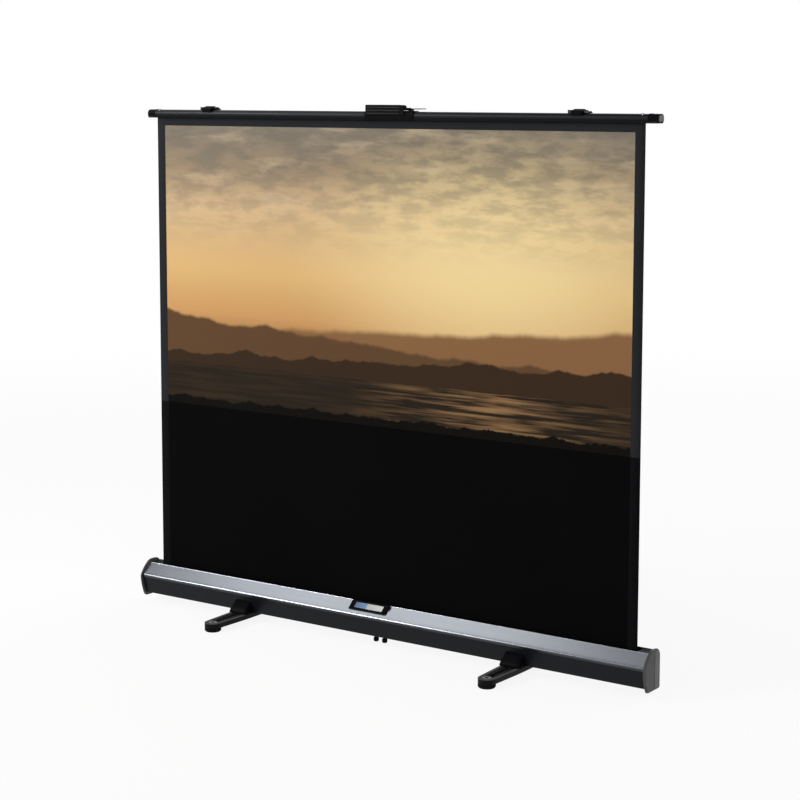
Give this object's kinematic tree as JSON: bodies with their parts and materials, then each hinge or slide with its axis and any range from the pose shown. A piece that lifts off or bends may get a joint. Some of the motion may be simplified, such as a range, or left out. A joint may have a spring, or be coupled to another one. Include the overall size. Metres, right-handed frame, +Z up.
{
  "type": "portable projection screen",
  "caption": "Floor-standing pull-up projection screen: folding arms behind the cloth raise a top bar out of a long case on swivel feet.",
  "frame": {"origin": "on the floor under the middle of the case and feet, at the centre of the overall box's base", "axes": "+X along the case to the audience's right, +Y away from the audience, +Z up"},
  "size_m": [1.9432, 0.441, 1.7108],
  "materials": {
    "dark_metal": "dark grey anodised extrusion, satin",
    "silver_metal": "brushed silver anodised extrusion, grain along its length",
    "grey_plastic": "grey moulded end pieces, fine grain",
    "black_plastic": "black moulded plastic, fine grain",
    "rubber": "black rubber, matt",
    "bright_metal": "plain mill-finished aluminium",
    "steel": "zinc-plated steel",
    "fabric": "matt screen cloth, black back and borders round a white viewing field"
  },
  "bodies": {
    "case": {"case_body": "dark_metal", "front_fascia": "silver_metal", "slot_guide": "black_plastic", "end_cap_left": "grey_plastic", "end_cap_right": "grey_plastic", "roller_bush_left": "black_plastic", "roller_bush_right": "black_plastic", "spring_shaft": "steel", "roller_spring": "steel", "base_bracket": "steel", "base_pin_left": "steel", "base_pin_right": "steel", "latch_keeper_left": "steel", "latch_keeper_right": "steel", "foot_cover_left": "black_plastic", "foot_cover_right": "black_plastic", "foot_bolt_left": "steel", "foot_bolt_right": "steel", "centre_stub_left": "rubber", "centre_stub_right": "rubber", "front_plate": "black_plastic", "fabric_sheet": "fabric"},
    "roller": {"roller_tube": "bright_metal", "fabric_roll": "fabric", "roller_plug_left": "black_plastic", "roller_plug_right": "black_plastic"},
    "lower_arm_r": {"lower_arm_right": "bright_metal", "lower_gear_right": "black_plastic", "elbow_pin_right": "steel"},
    "lower_arm_l": {"lower_arm_left": "bright_metal", "lower_gear_left": "black_plastic", "elbow_pin_left": "steel"},
    "upper_arm_r": {"upper_arm_right": "bright_metal", "upper_gear_right": "black_plastic"},
    "upper_arm_l": {"upper_arm_left": "bright_metal", "upper_gear_left": "black_plastic"},
    "bar": {"top_bar": "dark_metal", "bar_cap_left": "grey_plastic", "bar_cap_right": "grey_plastic", "bar_screw_left": "steel", "bar_screw_right": "steel", "top_hub": "steel", "hub_pin_left": "steel", "hub_pin_right": "steel", "fabric_batten": "bright_metal", "latch_base_left": "black_plastic", "latch_base_right": "black_plastic", "handle_saddle": "black_plastic"},
    "latch_l": {"latch_slider_left": "black_plastic"},
    "latch_r": {"latch_slider_right": "black_plastic"},
    "grip": {"handle_grip": "rubber"},
    "lever": {"release_lever": "black_plastic"},
    "foot_l": {"foot_arm_left": "black_plastic", "foot_pad_front_left": "rubber", "foot_pad_rear_left": "rubber"},
    "foot_r": {"foot_arm_right": "black_plastic", "foot_pad_front_right": "rubber", "foot_pad_rear_right": "rubber"}
  },
  "joints": [
    {"name": "scissor_fold", "type": "hinge", "parent": "case", "child": "lower_arm_r", "pos_m": [0.022, 0.0305, 0.057], "axis": [0, 1, 0], "range_deg": [0, 61.6], "deforming": ["fabric_sheet"]},
    {"name": "lower_left_fold", "type": "hinge", "parent": "case", "child": "lower_arm_l", "pos_m": [-0.022, 0.0305, 0.057], "axis": [0, 1, 0], "range_deg": [-61.6, 0]},
    {"name": "elbow_right_fold", "type": "hinge", "parent": "lower_arm_r", "child": "upper_arm_r", "pos_m": [0.4224, 0.025, 0.84624], "axis": [0, 1, 0], "range_deg": [-123.2, 0]},
    {"name": "elbow_left_fold", "type": "hinge", "parent": "lower_arm_l", "child": "upper_arm_l", "pos_m": [-0.4224, 0.025, 0.84624], "axis": [0, 1, 0], "range_deg": [0, 123.2]},
    {"name": "bar_level", "type": "hinge", "parent": "upper_arm_r", "child": "bar", "pos_m": [0.022, 0.0195, 1.63548], "axis": [0, 1, 0], "range_deg": [0, 61.6]},
    {"name": "roller_turn", "type": "hinge", "parent": "case", "child": "roller", "pos_m": [0, -0.00785, 0.066], "axis": [1, 0, 0], "range_deg": [-4546.6, 0]},
    {"name": "latch_left_slide", "type": "slide", "parent": "bar", "child": "latch_l", "axis": [1, 0, 0], "range_m": [0, 0.012]},
    {"name": "latch_right_slide", "type": "slide", "parent": "bar", "child": "latch_r", "axis": [1, 0, 0], "range_m": [0, 0.012]},
    {"name": "grip_lift", "type": "hinge", "parent": "bar", "child": "grip", "pos_m": [0.0215, 0.03, 1.69828], "axis": [-1, 0, 0], "range_deg": [0, 90]},
    {"name": "release_press", "type": "hinge", "parent": "bar", "child": "lever", "pos_m": [0.104, 0.0245, 1.69698], "axis": [0, 1, 0], "range_deg": [0, 6], "stiffness_Nm_per_rad": 0.5, "springref_deg": -5.73},
    {"name": "foot_left_swivel", "type": "hinge", "parent": "case", "child": "foot_l", "pos_m": [-0.527, 0, 0.0295], "axis": [0, 0, 1], "range_deg": [0, 90]},
    {"name": "foot_right_swivel", "type": "hinge", "parent": "case", "child": "foot_r", "pos_m": [0.527, 0, 0.0295], "axis": [0, 0, 1], "range_deg": [-90, 0]}
  ],
  "couplings": [
    {"joint": "lower_left_fold", "follows": "scissor_fold", "ratio": -1},
    {"joint": "elbow_right_fold", "follows": "scissor_fold", "ratio": -2},
    {"joint": "elbow_left_fold", "follows": "scissor_fold", "ratio": 2},
    {"joint": "bar_level", "follows": "scissor_fold", "ratio": 1},
    {"joint": "roller_turn", "follows": "scissor_fold", "ratio": -73.8}
  ]
}
